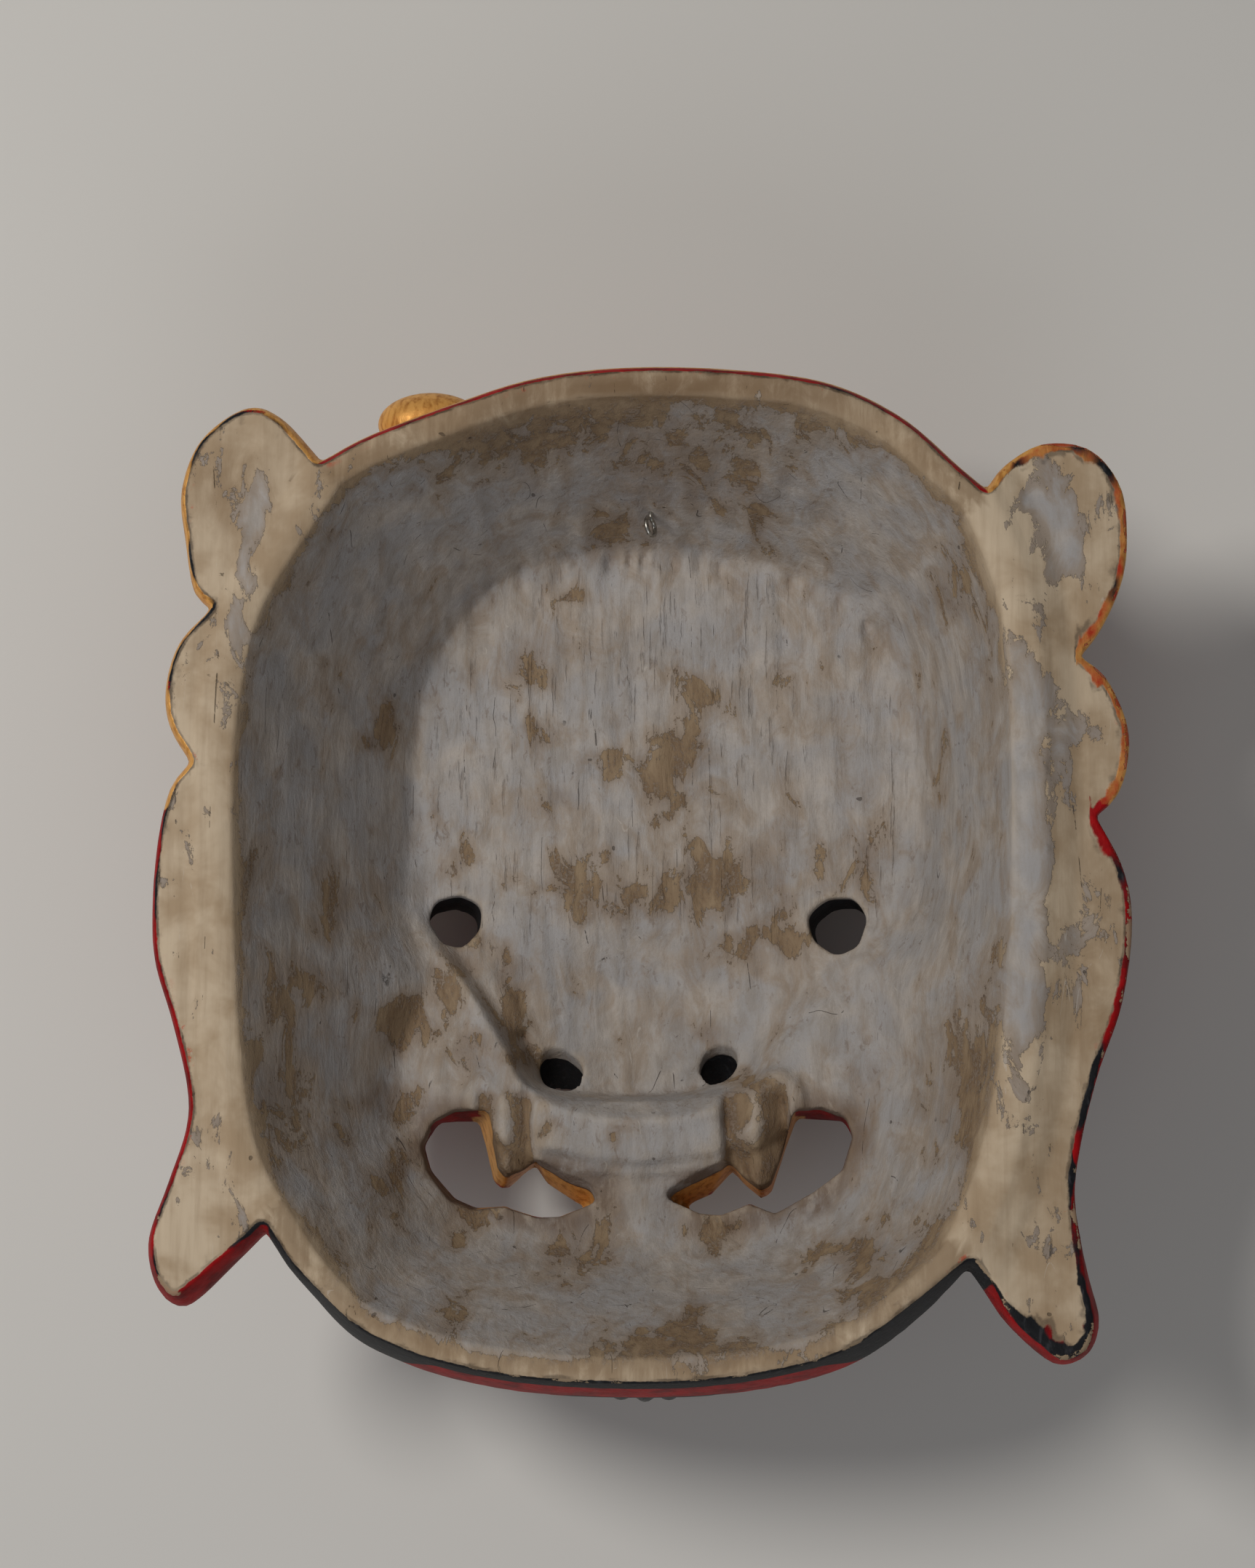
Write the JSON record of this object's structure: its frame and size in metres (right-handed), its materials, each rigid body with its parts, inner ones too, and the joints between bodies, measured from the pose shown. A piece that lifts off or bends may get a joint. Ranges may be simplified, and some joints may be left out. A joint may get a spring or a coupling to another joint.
{
  "type": "mahakala mask",
  "caption": "Carved and painted wooden mask of a wrathful protector, hollow at the back, with pierced eyes, nostrils and mouth, flaring ears and a small screw eye to hang it by.",
  "frame": {"origin": "on the surface that the mask lies on, under the middle of its width and height", "axes": "+Z out of the hollow back, away from the face; +Y toward the top of the head; +X toward the mask's right as seen from the back"},
  "size_m": [0.2997, 0.3193, 0.132],
  "materials": {
    "painted_wood": "raw and grey-washed wood at the back; red, black and gold paint on the front",
    "steel_wire": "dull plated wire"
  },
  "bodies": {
    "root": {"mask": "painted_wood", "screw_eye": "steel_wire"}
  },
  "joints": []
}
